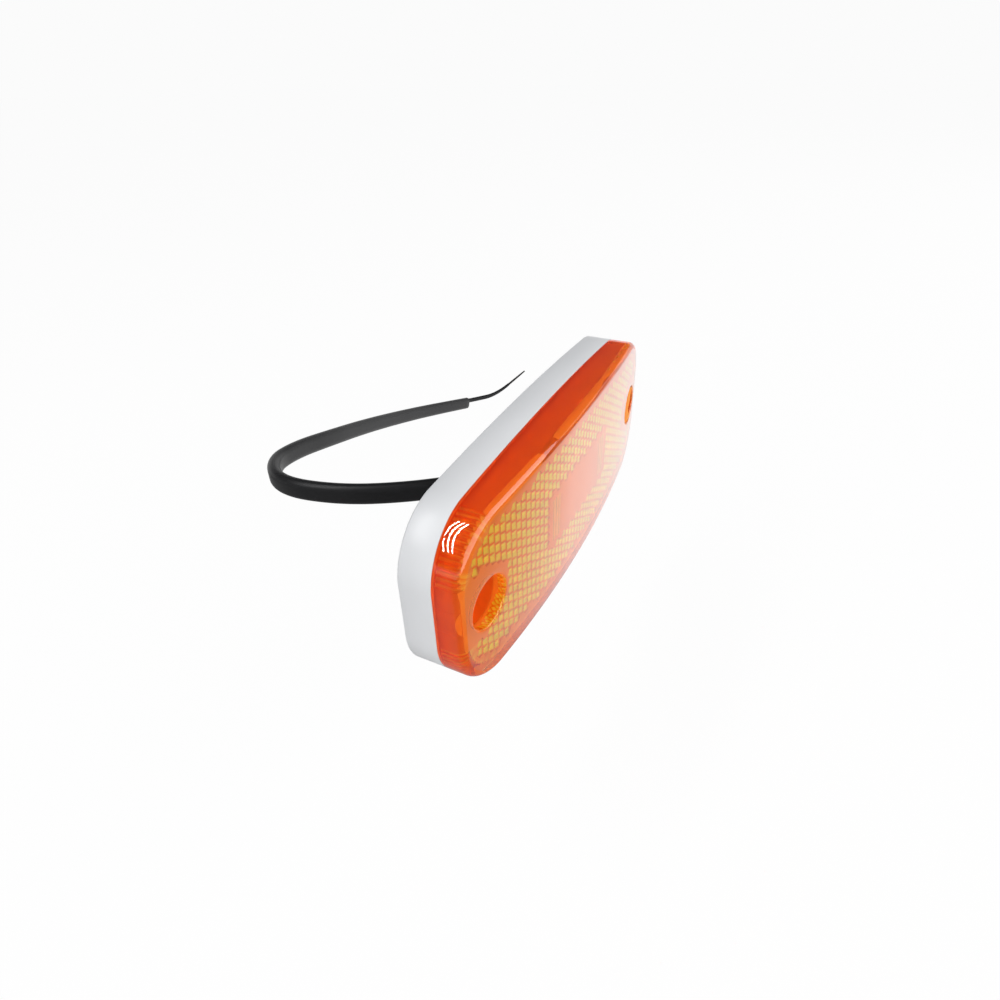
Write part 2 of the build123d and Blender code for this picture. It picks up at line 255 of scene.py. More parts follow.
def make_piece(
    name, surfaces, materials, nodes, sharp=35, finish=None, face_marks=None, point_marks=None
):
    """Join surfaces into one mesh with merged seams, outward faces and sharp edges past an angle.

    Finish gives each surface one of the materials by number. Marks are attributes by name: face
    marks have one value for each surface, and point marks have one value, or one for each point,
    for each surface.
    """
    points, faces, count = [], [], 0
    face_counts = [len(surface_faces) for _, surface_faces in surfaces]
    for surface_points, surface_faces in surfaces:
        points.append(surface_points)
        faces += [[k + count for k in face] for face in surface_faces]
        count += len(surface_points)
    mesh = bpy.data.meshes.new(name)
    mesh.from_pydata(np.concatenate(points).tolist(), [], faces)
    for material in materials:
        mesh.materials.append(material)
    if finish:
        mesh.polygons.foreach_set("material_index", np.repeat(finish, face_counts))
    for label, values in (face_marks or {}).items():
        mark = mesh.attributes.new(label, "FLOAT", "FACE")
        mark.data.foreach_set("value", np.repeat(values, face_counts))
    for label, values in (point_marks or {}).items():
        mark = mesh.attributes.new(label, "FLOAT", "POINT")
        spread = [np.broadcast_to(value, len(part)) for value, part in zip(values, points)]
        mark.data.foreach_set("value", np.concatenate(spread))
    body = bmesh.new()
    body.from_mesh(mesh)
    bmesh.ops.remove_doubles(body, verts=body.verts, dist=merge_distance)
    bmesh.ops.delete(body, geom=[v for v in body.verts if not v.link_faces], context="VERTS")
    bmesh.ops.recalc_face_normals(body, faces=body.faces)
    body.to_mesh(mesh)
    body.free()
    mesh.polygons.foreach_set("use_smooth", [True] * len(mesh.polygons))
    mesh.set_sharp_from_angle(angle=radians(sharp))
    piece = bpy.data.objects.new(name, mesh)
    bpy.context.scene.collection.objects.link(piece)
    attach(piece, "root")
    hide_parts(*nodes)
    return piece


def lamp_outline():
    """Points (x, z) and outward normals round the lamp, anticlockwise from the +X end.

    Eight stretches: two straight ends, four corner arcs and two long bowed sides. On an arc the
    normal is (cos t, sin t), and the point is the arc's centre plus its radius times the normal.
    """
    turn = atan2(bow_radius - corner_radius - side_bow, corner_x)
    drop = bow_radius - lamp_height / 2

    def arc(centre, radius, start, end, steps):
        t = np.linspace(start, end, steps, endpoint=False)
        normal = np.stack((np.cos(t), np.sin(t)), -1)
        return np.array(centre) + radius * normal, normal

    def end(side):
        z = side * np.linspace(-corner_z, corner_z, end_steps, endpoint=False)
        x = np.full(end_steps, side * lamp_length / 2)
        return np.stack((x, z), -1), np.tile((side, 0.0), (end_steps, 1))

    stretches = (
        end(1),
        arc((corner_x, corner_z), corner_radius, 0, turn, corner_steps),
        arc((0, -drop), bow_radius, turn, pi - turn, side_steps),
        arc((-corner_x, corner_z), corner_radius, pi - turn, pi, corner_steps),
        end(-1),
        arc((-corner_x, -corner_z), corner_radius, pi, pi + turn, corner_steps),
        arc((0, drop), bow_radius, pi + turn, 2 * pi - turn, side_steps),
        arc((corner_x, -corner_z), corner_radius, 2 * pi - turn, 2 * pi, corner_steps),
    )
    points, normals = zip(*stretches)
    return np.concatenate(points), np.concatenate(normals)


outline_points, outline_normals = lamp_outline()


def inset_ring(inset):
    """The outline moved in along its normals, by one distance or by one for each point."""
    return outline_points - np.reshape(inset, (-1, 1)) * outline_normals


def face_y(x):
    """Y of the crowned face: a circle along X that meets the front at the middle."""
    radius = ((lamp_length / 2) ** 2 + crown_rise**2) / (2 * crown_rise)
    return lens_low.y + radius - np.sqrt(radius**2 - np.square(x))


def ceiling_y(x):
    """Y of the inside of the face: flat out to the panel break, then sloping back to the ends."""
    middle = face_y(panel_break) + lens_face
    slope = (face_y(lamp_length / 2) - face_y(panel_break)) / (lamp_length / 2 - panel_break)
    return middle + slope * np.maximum(0.0, np.abs(x) - panel_break)


def carried(profile):
    """Carry a profile round the outline. Each row is an inset and a y or a function of x."""
    rows = [raised(inset_ring(inset), height) for inset, height in profile]
    return sheet(np.stack(rows), wrap=True)


def turned(centre, directions, profile):
    """Turn a profile about an axis along Y. Each row is a radius and a y or a function of x."""
    rows = [raised(np.array(centre) + radius * directions, height) for radius, height in profile]
    return sheet(np.stack(rows), wrap=True)


def compass(steps):
    """Unit directions (x, z) evenly round a circle."""
    t = np.linspace(0, 2 * pi, steps, endpoint=False)
    return np.stack((np.cos(t), np.sin(t)), -1)


def quarter(radius, steps=quarter_rows):
    """Quarter round as pairs: how far in and how far back, from the side to the face."""
    t = np.linspace(0, pi / 2, steps)
    return [(radius * (1 - cos(a)), radius * (1 - sin(a))) for a in t]


def trimmed_sheet(loop, holes, height):
    """A sheet filling a closed loop apart from its holes, at a y or a function of x.

    The loop and the holes are polygons of (x, z), each taken anticlockwise by its signed area. A
    constrained triangulation covers the loop, and only triangles that lie in no hole are kept.
    """

    def anticlockwise(polygon):
        x, z = polygon.T
        return polygon if np.sum(x * np.roll(z, -1) - z * np.roll(x, -1)) > 0 else polygon[::-1]

    polygons = [anticlockwise(polygon) for polygon in (loop, *holes)]
    starts = np.cumsum([0] + [len(p) for p in polygons])
    corners = [list(range(a, b)) for a, b in zip(starts[:-1], starts[1:])]
    flat = (np.concatenate(polygons) / mm).tolist()
    faces_within, closeness = 1, 1e-5
    places, _, faces, _, _, owners = delaunay_2d_cdt(flat, [], corners, faces_within, closeness)
    kept = [list(face) for face, owner in zip(faces, owners) if list(owner) == [0]]
    return raised(np.array(places) * mm, height), kept


# Lens


def flute_bump():
    """How far the flutes stand in at each outline point: half circles evenly round each corner."""
    cavity_radius = corner_radius - lens_wall
    step = flute_pitch / cavity_radius
    flutes = int(flute_span / step)
    angle = np.arctan2(np.abs(outline_normals[:, 1]), np.abs(outline_normals[:, 0]))
    nearest = np.clip(np.round((angle - pi / 4) / step + (flutes - 1) / 2), 0, flutes - 1)
    off = cavity_radius * (angle - pi / 4 - (nearest - (flutes - 1) / 2) * step)
    return np.sqrt(np.maximum(0.0, flute_radius**2 - off**2))


def edge_distance(x, z):
    """Distance in from the outline to points given by whole arrays."""
    x, z = np.abs(x), np.abs(z)
    in_corner = corner_radius - np.hypot(x - corner_x, z - corner_z)
    from_side = bow_radius - np.hypot(x, z + bow_radius - lamp_height / 2)
    elsewhere = np.minimum(from_side, lamp_length / 2 - x)
    return np.where((x > corner_x) & (z > corner_z), in_corner, elsewhere)


def reflex_lattice():
    """Corner cubes: three faces of a cube meet at each cell's tip, and neighbours share corners.

    Steps are half cell radii along X and half pitches along Z. Round a cell the corners stand in
    turn at half height and at the root. Returns the surface, its colour depth, pale at the tips as
    a painted highlight and deep round them, and each cell's hexagon.
    """
    column_pitch = 1.5 * cell_radius
    columns = int(lamp_length / 2 / column_pitch) + 1
    rows = int(lamp_height / 2 / cell_pitch) + 1
    column, row = np.meshgrid(np.arange(-columns, columns + 1), np.arange(-rows, rows + 1))
    steps = np.stack((3 * column, 2 * row + column % 2), -1).reshape(-1, 2)
    scale = np.array((cell_radius / 2, cell_pitch / 2))
    x, z = (steps * scale).T
    room = np.minimum.reduce(
        (
            edge_distance(x, z) - lens_wall - flute_radius,
            np.hypot(np.abs(x) - well_x, z) - tower_radius,
            np.maximum(np.abs(x) - ridges_end, np.abs(z) - window_height / 2),
        )
    )
    steps = steps[room > cell_radius + cell_margin]
    corners = np.array([(2, 0), (1, 1), (-1, 1), (-2, 0), (-1, -1), (1, -1)])
    ring_steps = steps[:, None] + corners
    unique, ring = np.unique(ring_steps.reshape(-1, 2), axis=0, return_inverse=True)
    ring = ring.reshape(-1, 6)
    half_height = cell_radius / sqrt(2)
    rise = np.zeros(len(unique))
    rise[ring[:, ::2]] = half_height
    tip_xz, ring_xz = steps * scale, unique * scale
    tips = raised(tip_xz, ceiling_y(tip_xz[:, 0]) + 2 * half_height)
    tops = raised(ring_xz, ceiling_y(ring_xz[:, 0]) + rise)
    roots = raised(ring_xz, ceiling_y)
    tip = np.arange(len(steps))[:, None]
    first, second = len(steps), len(steps) + len(unique)
    quads = [np.hstack((tip, first + ring[:, [k, k + 1, (k + 2) % 6]])) for k in (0, 2, 4)]
    high_to_low = ([0, 1], [2, 1], [2, 3], [4, 3], [4, 5], [0, 5])
    edges = np.concatenate([ring[:, pair] for pair in high_to_low])
    sides, times = np.unique(edges, axis=0, return_counts=True)
    border = sides[times == 1]
    walls = np.stack((first + border[:, 0], first + border[:, 1], second + border[:, 0]), -1)
    surface = np.concatenate((tips, tops, roots)), np.concatenate(quads).tolist() + walls.tolist()
    # Pale tips and deep roots: the tips carry a painted highlight
    depth = np.repeat((painted_tip_highlight_tint, cell_root_tint), (len(tips), 2 * len(unique)))
    return surface, depth, list(ring_xz[ring])


def window_ridges(side):
    """Upright ridges at one end of the window: a zigzag carried up Z, closed at both ends.

    Returns the surfaces and the rectangle that they stand on.
    """
    start = window_end + ridge_pitch * np.arange(ridge_count)
    foot = np.stack((start, start + ridge_width / 2, start + ridge_width), -1).ravel() * side
    level = ceiling_y(0.0)
    rise = np.tile((0.0, ridge_height, 0.0), ridge_count)
    z = np.array((-1, 1)) * window_height / 2
    crest = np.stack(np.broadcast_arrays(foot, level + rise, z[:, None]), -1)
    base = np.stack(np.broadcast_arrays(foot, level, z[:, None]), -1)
    ends = [sheet(np.stack((crest[k], base[k]))) for k in (0, 1)]
    loop = np.concatenate((base[0][:, [0, 2]], base[1][::-1][:, [0, 2]]))
    return [sheet(crest), *ends], loop


def face_sheets():
    """The crowned face in three sheets, and the directions from a well to the sheet round it.

    The middle sheet runs straight from the lower to the upper side. An end sheet runs straight
    from the well's rim to the boundary round it, along rays from the well's axis.
    """
    ring = inset_ring(edge_radius)
    top = end_steps + corner_steps
    bottom = 2 * end_steps + 3 * corner_steps + side_steps
    upper = ring[top + split_steps : top + side_steps - split_steps + 1]
    lower = ring[bottom + split_steps : bottom + side_steps - split_steps + 1][::-1]
    share = np.linspace(0, 1, face_rows + 1)[:, None, None]
    middle = lower + share * (upper - lower)
    first = bottom + side_steps - split_steps
    round_end = np.concatenate((ring[first:], ring[: top + split_steps + 1], middle[-2:0:-1, 0]))
    directions = round_end - (well_x, 0)
    directions /= np.linalg.norm(directions, axis=1)[:, None]
    rim = np.array((well_x, 0)) + (well_radius + well_rim) * directions
    end = rim + np.linspace(0, 1, face_rings)[:, None, None] * (round_end - rim)
    end_sheet = sheet(raised(end, face_y), wrap=True)
    return [sheet(raised(middle, face_y)), end_sheet, mirrored(end_sheet)], directions


def below_face(depth):
    """A function of x that gives the face's y moved back by depth."""
    return lambda x: face_y(x) + depth


def tower_top(x):
    """Y where a screw tower starts, a hair behind the inside of the face."""
    return ceiling_y(x) + joint_gap


def lens_surfaces():
    """The lens as one closed skin, and a closed screw tower at each end.

    The skin is the wall, the face, the wells, the inside of the wall, the ceiling and what stands
    on it. Each surface has its finish, its frost, its hard coat and its colour depth, which is
    paler on the cell tips and the flute crests as a painted highlight.
    """
    bump = flute_bump()
    flutes = lens_wall + bump
    fluted_rows = [(flutes, ceiling_y), (flutes, seam_y)]
    lip_rows = [
        (lens_wall, seam_y),
        (lens_wall, seam_y + lip_depth),
        (lip_inset, seam_y + lip_depth),
        (lip_inset, seam_y - joint_gap),
        (break_radius, seam_y - joint_gap),
    ]
    inside = carried(fluted_rows + lip_rows)
    flute_crest_share = np.tile(bump / flute_radius, len(fluted_rows))
    on_lip = np.zeros(len(lip_rows) * len(bump))
    # Paler colour depth on the flute crests is a painted highlight
    inside_depth = inside_tint - painted_flute_highlight * np.concatenate((flute_crest_share, on_lip))
    lower_wall = [
        (break_radius, seam_y - joint_gap),
        (break_middle, seam_y - break_middle),
        (0.0, seam_y - break_radius),
        (0.0, wall_row_y),
    ]
    edge_round = quarter(edge_radius, edge_rows)
    rounded_edge = [(inset, below_face(back)) for inset, back in edge_round]
    wall = carried(lower_wall + rounded_edge)
    edge_depths = np.linspace(wall_tint, face_tint, len(rounded_edge))
    row_depths = np.concatenate((np.full(len(lower_wall), wall_tint), edge_depths))
    wall_depth = np.repeat(row_depths, len(outline_points))
    faces, directions = face_sheets()
    rim_round = [(well_radius + back, below_face(inset)) for inset, back in quarter(well_rim)]
    well = turned((well_x, 0), directions, rim_round + [(well_radius, ceiling_y)])
    row_depths = np.linspace(face_tint, well_tint, len(rim_round) + 1)
    well_depth = np.repeat(row_depths, len(directions))
    tower_end_y = seat_back_y - joint_gap
    bore_profile = [
        (well_radius, tower_top),
        (well_radius, seat_front_y - seat_break),
        (well_radius - seat_break, seat_front_y),
        (hole_radius, seat_front_y),
        (hole_radius, tower_end_y),
    ]
    bore = turned((well_x, 0), directions, bore_profile)
    tower_profile = [
        (hole_radius, tower_end_y),
        (tower_radius, tower_end_y),
        (tower_radius, tower_top),
        (well_radius, tower_top),
    ]
    tower = turned((well_x, 0), directions, tower_profile)
    lattice, lattice_depth, hexagons = reflex_lattice()
    near_ridges, near_loop = window_ridges(-1)
    far_ridges, far_loop = window_ridges(1)
    opening = np.array((well_x, 0)) + well_radius * directions
    openings = [opening, opening * (-1, 1), near_loop, far_loop, *hexagons]
    ceiling = trimmed_sheet(inset_ring(flutes), openings, ceiling_y)
    polished, cells, scattering, screw_side = range(4)
    marked = [
        (wall, polished, 0.0, 0.0, wall_depth),
        *[(face, polished, 0.0, 1.0, face_tint) for face in faces],
        *[(side, polished, 0.0, 0.0, well_depth) for side in (well, mirrored(well))],
        *[(side, screw_side, bore_frost, 0.0, bore_tint) for side in (bore, mirrored(bore))],
        (lattice, cells, 0.0, 0.0, lattice_depth),
        *[(ridge, cells, 0.0, 0.0, ridge_tint) for ridge in near_ridges + far_ridges],
        (ceiling, scattering, 1.0, 0.0, ceiling_tint),
        (inside, scattering, 1.0, 0.0, inside_depth),
        *[(side, scattering, 1.0, 0.0, tower_tint) for side in (tower, mirrored(tower))],
    ]
    surfaces, finish, frost, coat, depth = map(list, zip(*marked))
    return surfaces, finish, {"frost": frost, "hard_coat": coat}, {"colour_depth": depth}


# Housing and grommet


def slot_ring(margin, steps=slot_steps):
    """The cable's flat section grown by margin, upright at the outlet: an oval round a segment."""
    half = (cable_width - cable_thickness) / 2
    t = np.linspace(0, pi, steps)
    radius = cable_thickness / 2 + margin
    upper = np.stack((radius * np.cos(t), half + radius * np.sin(t)), -1)
    return np.concatenate((upper, -upper)) + (outlet_x, 0)


def slot_sheet(profile, steps=slot_steps):
    """Carry a profile round the cable's section. Each row is a margin and a y."""
    rows = [raised(slot_ring(margin, steps), y) for margin, y in profile]
    return sheet(np.stack(rows), wrap=True)


def housing_surfaces():
    """The tray as one closed skin: rims, wall, floor, screw bosses, board posts and cable slot."""
    wall = carried(
        [
            (rear_rim, recess_y),
            (rear_rim, -break_radius),
            (rear_rim - break_radius, 0.0),
            *rear_edge_profile(),
            (0.0, seam_y + break_radius),
            (break_middle, seam_y + break_middle),
            (break_radius, seam_y),
            (housing_wall - break_radius, seam_y),
            (housing_wall, seam_y + break_radius),
            (housing_wall, floor_front_y),
        ]
    )
    round_boss, round_post = compass(boss_steps), compass(post_steps)
    boss_profile = [
        (pad_radius, recess_y),
        (pad_radius, -break_radius),
        (pad_radius - break_radius, -joint_gap),
        (hole_radius + break_radius, -joint_gap),
        (hole_radius, -break_radius),
        (hole_radius, seat_back_y),
        (tower_radius, seat_back_y),
        (tower_radius, floor_front_y),
    ]
    bosses = [turned((side * well_x, 0), round_boss, boss_profile) for side in (-1, 1)]
    post_profile = [
        (post_radius, floor_front_y),
        (post_radius, board_back_y),
        (pin_radius, board_back_y),
        (pin_radius, pin_end_y + break_radius),
        (pin_radius - break_radius, pin_end_y),
        (centre_radius, pin_end_y),
    ]
    posts = [turned(place, round_post, post_profile) for place in post_places]
    slot_wall = slot_sheet([(grommet_wall, recess_y), (grommet_wall, floor_front_y)])
    slot_hole = slot_ring(grommet_wall)
    boss_middles = np.array([(-well_x, 0), (well_x, 0)])
    boss_holes = [middle + tower_radius * round_boss for middle in boss_middles]
    pad_holes = [middle + pad_radius * round_boss for middle in boss_middles]
    post_holes = [np.array(place) + post_radius * round_post for place in post_places]
    front_holes = [*boss_holes, *post_holes, slot_hole]
    front = trimmed_sheet(inset_ring(housing_wall), front_holes, floor_front_y)
    rear = trimmed_sheet(inset_ring(rear_rim), [*pad_holes, slot_hole], recess_y)
    return [wall, *bosses, *posts, slot_wall, front, rear]


def rear_edge_profile():
    """The rear edge as a quarter round, from the rear face to the side."""
    t = np.linspace(0, pi / 2, quarter_rows)
    return [(rear_edge_radius * (1 - sin(a)), -rear_edge_radius * (1 - cos(a))) for a in t]


def grommet_surfaces():
    """A flange on each side of the floor and a tapered nose behind, as one closed section."""
    nose_y = grommet_high.y
    nose_wall = grommet_wall - nose_y * tan(grommet_taper)
    wide = grommet_wall + grommet_flange
    soft_radius, soft_middle = 2 * break_radius, 2 * break_middle
    profile = [
        (0.0, nose_y),
        (0.0, grommet_low.y),
        (wide - break_radius, grommet_low.y),
        (wide, grommet_low.y + break_radius),
        (wide, floor_front_y),
        (grommet_wall, floor_front_y),
        (grommet_wall, recess_y),
        (wide, recess_y),
        (wide, -soft_radius),
        (wide - soft_middle, -soft_middle),
        (wide - soft_radius, 0.0),
        (grommet_wall + break_radius, 0.0),
        (grommet_wall, break_radius),
        (nose_wall, nose_y - soft_radius),
        (nose_wall - soft_middle, nose_y - soft_middle),
        (nose_wall - soft_radius, nose_y),
        (0.0, nose_y),
    ]
    return [slot_sheet(profile, grommet_steps)]


# Cable


def cord_line(route):
    """Points read from a NURBS spline that has the route's points as its control points."""
    curve = bpy.data.curves.new("cord_route", "CURVE")
    curve.dimensions = "3D"
    curve.resolution_u = 20
    spline = curve.splines.new("NURBS")
    spline.points.add(len(route) - 1)
    spline.points.foreach_set("co", np.column_stack((route, np.ones(len(route)))).ravel())
    spline.order_u = 3
    spline.use_endpoint_u = True
    carrier = bpy.data.objects.new("cord_route", curve)
    mesh = bpy.data.meshes.new_from_object(carrier)
    line = np.empty(len(mesh.vertices) * 3)
    mesh.vertices.foreach_get("co", line)
    bpy.data.objects.remove(carrier)
    bpy.data.curves.remove(curve)
    bpy.data.meshes.remove(mesh)
    return line.reshape(-1, 3)


def cord_axes(line):
    """Unit tangent, upright and sideways directions at each point of a line."""
    tangent = np.gradient(line, axis=0)
    tangent /= np.linalg.norm(tangent, axis=1)[:, None]
    up = np.array((0, 0, 1.0)) - tangent * tangent[:, 2:]
    up /= np.linalg.norm(up, axis=1)[:, None]
    return tangent, up, np.cross(tangent, up)


def tube(line, section, rounding, taper=1.0):
    """Carry a section (sideways, up) along a line, closed at both ends over a small rounding.

    Taper is the share of the section left at the end, reached evenly over the second half.
    """
    tangent, up, side = cord_axes(line)
    centres = np.concatenate((line[:1], line[:1], line, line[-1:], line[-1:]))
    order = np.r_[0, 0, np.arange(len(line)), -1, -1]
    reach, closed_end = np.abs(section).max(), 1e-4
    half = np.clip(np.linspace(-1, 1, len(order)), 0, 1)
    shrink = 1 - (1 - taper) * half
    shrink[[0, -1]] = closed_end
    shrink[[1, -2]] -= rounding / reach
    centres[2] += tangent[0] * rounding
    centres[-3] -= tangent[-1] * rounding
    across = section[None, :, :1] * side[order][:, None]
    above = section[None, :, 1:] * up[order][:, None]
    return sheet(centres[:, None] + shrink[:, None, None] * (across + above), wrap=True)


def sheath_section():
    """The flat cable's section: two half rounds joined by straight sides."""
    return slot_ring(0.0, sheath_steps) - (outlet_x, 0)


def strands(start, way, length):
    """Twisted strands, three across: one straight and the rest on a helix drawn in at the tip."""
    strand_radius = bare_diameter / 6
    up = upright(way)
    side = np.cross(way, up)
    s = np.linspace(0, 1, strand_rows)
    middle = start + way * (length * s)[:, None]
    parts = []
    for k in range(strand_count):
        turn = 2 * pi * (k / (strand_count - 1) + strand_turns * s)
        swing = (2 * strand_radius if k else 0.0) * (1 - strand_draw * s**2)
        around = np.cos(turn)[:, None] * side + np.sin(turn)[:, None] * up
        line = middle + swing[:, None] * around
        parts.append(tube(line, strand_radius * compass(strand_steps), strand_rounding))
    return parts


# Shared shader groups and materials


def new_group(name, inputs, outputs):
    """An empty shader node group with named sockets: (name, socket type, default)."""
    group = bpy.data.node_groups.new(name, "ShaderNodeTree")
    for label, kind, value in inputs:
        socket = group.interface.new_socket(label, in_out="INPUT", socket_type=kind)
        socket.default_value = value
    for label, kind in outputs:
        group.interface.new_socket(label, in_out="OUTPUT", socket_type=kind)
    return group, group.nodes.new("NodeGroupInput"), group.nodes.new("NodeGroupOutput")


def math_node(tree, operation, *values):
    """A Math node on sockets or plain numbers. Returns its result."""
    node = tree.nodes.new("ShaderNodeMath")
    node.operation = operation
    for socket, value in zip(node.inputs, values):
        if isinstance(value, bpy.types.NodeSocket):
            tree.links.new(value, socket)
        else:
            socket.default_value = value
    return node.outputs[0]


def map_range(tree, value, start, end, low=0.0, high=1.0):
    """A Map Range node on a socket, from start and end to low and high. Returns its result."""
    node = tree.nodes.new("ShaderNodeMapRange")
    limits = (("From Min", start), ("From Max", end), ("To Min", low), ("To Max", high))
    for label, limit in limits:
        node.inputs[label].default_value = limit
    tree.links.new(value, node.inputs["Value"])
    return node.outputs["Result"]


def colour_mix(tree, share, first, second):
    """A Mix node from one colour to another, each a socket or three numbers. Returns its result."""
    node = tree.nodes.new("ShaderNodeMix")
    node.data_type = "RGBA"
    tree.links.new(share, node.inputs["Factor"])
    for label, colour in (("A", first), ("B", second)):
        if isinstance(colour, bpy.types.NodeSocket):
            tree.links.new(colour, node.inputs[label])
        else:
            node.inputs[label].default_value = (*colour, 1.0)
    return node.outputs["Result"]


def moulded_surface_group():
    """Moulded surface: a slow flow tone and a fine skin, both from noise on Object coordinates."""
    group, given, out = new_group(
        "moulded_surface",
        [
            ("Flow Scale", "NodeSocketFloat", 60.0),
            ("Skin Scale", "NodeSocketFloat", 2500.0),
            ("Tone Spread", "NodeSocketFloat", 0.06),
            ("Gloss", "NodeSocketFloat", 0.35),
            ("Gloss Spread", "NodeSocketFloat", 0.1),
        ],
        [(label, "NodeSocketFloat") for label in ("Tone", "Roughness", "Height")],
    )
    nodes, links = group.nodes, group.links
    place = nodes.new("ShaderNodeTexCoord")
    flow = nodes.new("ShaderNodeTexNoise")
    flow.inputs["Detail"].default_value = 3
    skin = nodes.new("ShaderNodeTexNoise")
    skin.inputs["Detail"].default_value = 2
    for noise, scale in ((flow, "Flow Scale"), (skin, "Skin Scale")):
        links.new(place.outputs["Object"], noise.inputs["Vector"])
        links.new(given.outputs[scale], noise.inputs["Scale"])
    noise_middle, plain_tone = 0.5, 1.0
    swing = math_node(group, "SUBTRACT", flow.outputs["Fac"], noise_middle)
    tone = math_node(group, "MULTIPLY_ADD", swing, given.outputs["Tone Spread"], plain_tone)
    gloss = math_node(
        group, "MULTIPLY_ADD", swing, given.outputs["Gloss Spread"], given.outputs["Gloss"]
    )
    links.new(tone, out.inputs["Tone"])
    links.new(gloss, out.inputs["Roughness"])
    links.new(skin.outputs["Fac"], out.inputs["Height"])
    return group


moulded_surface = moulded_surface_group()
skin_strength = 0.25
frost_share = 0.5


def moulded_material(
    name, colour, gloss, flow=60.0, skin=2500.0, tone=0.06, spread=0.1, depth=0.004, **sockets
):
    """A moulded finish: the colour times the flow tone, noise in the gloss and a fine skin.

    The skin bends the normal, and its depth is given in millimetres.
    """
    material = bpy.data.materials.new(name)
    material.use_nodes = True
    nodes, links = material.node_tree.nodes, material.node_tree.links
    shader = nodes["Principled BSDF"]
    surface = nodes.new("ShaderNodeGroup")
    surface.node_tree = moulded_surface
    for label, value in (
        ("Flow Scale", flow),
        ("Skin Scale", skin),
        ("Tone Spread", tone),
        ("Gloss", gloss),
        ("Gloss Spread", spread),
    ):
        surface.inputs[label].default_value = value
    tint = nodes.new("ShaderNodeVectorMath")
    tint.operation = "SCALE"
    tint.inputs[0].default_value = colour
    links.new(surface.outputs["Tone"], tint.inputs["Scale"])
    links.new(tint.outputs["Vector"], shader.inputs["Base Color"])
    links.new(surface.outputs["Roughness"], shader.inputs["Roughness"])
    bump = nodes.new("ShaderNodeBump")
    bump.inputs["Strength"].default_value = skin_strength
    bump.inputs["Distance"].default_value = depth * mm
    links.new(surface.outputs["Height"], bump.inputs["Height"])
    links.new(bump.outputs["Normal"], shader.inputs["Normal"])
    for label, value in sockets.items():
        shader.inputs[label.replace("_", " ")].default_value = value
    return material


def amber_material(name, clearness, pale, deep, start, end):
    """Amber plastic, clear by the clearness and scattering by the rest, polished or frosted.

    Roughness is the moulded surface's own plus a share of the frost attribute. The colour runs
    from pale to deep as the colour depth attribute goes from start to end, and the coat follows
    its own attribute.
    """
    material = moulded_material(
        name,
        deep,
        gloss=0.02,
        flow=40.0,
        skin=900.0,
        tone=0.03,
        spread=0.02,
        depth=0.002,
        Transmission_Weight=clearness,
        IOR=1.55,
    )
    tree = material.node_tree
    shader = tree.nodes["Principled BSDF"]

    def mark(label):
        attribute = tree.nodes.new("ShaderNodeAttribute")
        attribute.attribute_name = label
        return attribute.outputs["Fac"]

    own_roughness = shader.inputs["Roughness"].links[0].from_socket
    roughness = math_node(tree, "MULTIPLY_ADD", mark("frost"), frost_share, own_roughness)
    tree.links.new(roughness, shader.inputs["Roughness"])
    reach = map_range(tree, mark("colour_depth"), start, end)
    tint = shader.inputs["Base Color"].links[0].from_node
    tree.links.new(colour_mix(tree, reach, pale, deep), tint.inputs[0])
    tree.links.new(mark("hard_coat"), shader.inputs["Coat Weight"])
    return material


# The pale yellow ends of amber_cells and amber_frosted carry the painted highlights on the cell
# tips and flute crests
lens_ambers = [
    amber_material("amber_lens", 1.0, (1.0, 0.85, 0.3), (1.0, 0.17, 0.006), 0.0, 1.0),
    amber_material("amber_cells", 0.04, (1.0, 0.90, 0.12), (1.0, 0.26, 0.02), 0.48, 0.75),
    amber_material("amber_frosted", 0.04, (1.0, 0.90, 0.16), (1.0, 0.26, 0.02), 0.42, 0.7),
    amber_material("amber_well", 0.25, (1.0, 0.40, 0.05), (1.0, 0.15, 0.004), 0.0, 0.7),
]
housing_plastic = moulded_material("housing_plastic", (0.66, 0.67, 0.685), 0.36)
grommet_rubber = moulded_material("grommet_rubber", (0.022, 0.022, 0.023), 0.62, tone=0.3)
sheath_plastic = moulded_material(
    "cable_sheath",
    (0.010, 0.010, 0.011),
    0.42,
    flow=90.0,
    tone=0.3,
    depth=0.01,
    Specular_IOR_Level=0.25,
)
core_plastic = moulded_material(
    "core_insulation", (0.008, 0.008, 0.009), 0.5, flow=90.0, tone=0.3, Specular_IOR_Level=0.15
)
# Near-black strands: painted shade in place of the copper's own colour
strand_metal = moulded_material(
    "bare_strands", (0.03, 0.027, 0.025), 0.5, flow=600.0, tone=0.5, Metallic=0.8
)
board_mask = moulded_material("board", (0.80, 0.81, 0.79), 0.42, flow=90.0)
chip_body = moulded_material("light_chip", (0.85, 0.78, 0.52), 0.35, flow=300.0)
resistor_body = moulded_material("chip_resistor", (0.04, 0.04, 0.045), 0.5, flow=400.0, tone=0.3)
capacitor_body = moulded_material("chip_capacitor", (0.42, 0.29, 0.17), 0.5, flow=400.0, tone=0.2)
diode_body = moulded_material("diode_body", (0.20, 0.20, 0.20), 0.55, flow=400.0, tone=0.3)
copper_metal = moulded_material(
    "copper", (0.72, 0.38, 0.20), 0.32, flow=500.0, tone=0.2, Metallic=1.0
)
solder_metal = moulded_material(
    "solder", (0.72, 0.73, 0.74), 0.25, flow=500.0, tone=0.15, Metallic=1.0
)

node_finishes = [
    (board_mask, ["circuit_board"]),
    (chip_body, ["led_1", "led_2", "led_3", "led_4"]),
    (resistor_body, ["resistor_1", "resistor_2"]),
    (capacitor_body, ["capacitor"]),
    (diode_body, ["diode"]),
    (core_plastic, ["lead_upper", "lead_lower"]),
    (copper_metal, ["conductor_upper", "conductor_lower"]),
    (solder_metal, ["solder_upper", "solder_lower"]),
]
for finish, nodes in node_finishes:
    for node in nodes:
        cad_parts[node].data.materials.clear()
        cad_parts[node].data.materials.append(finish)


# Pieces

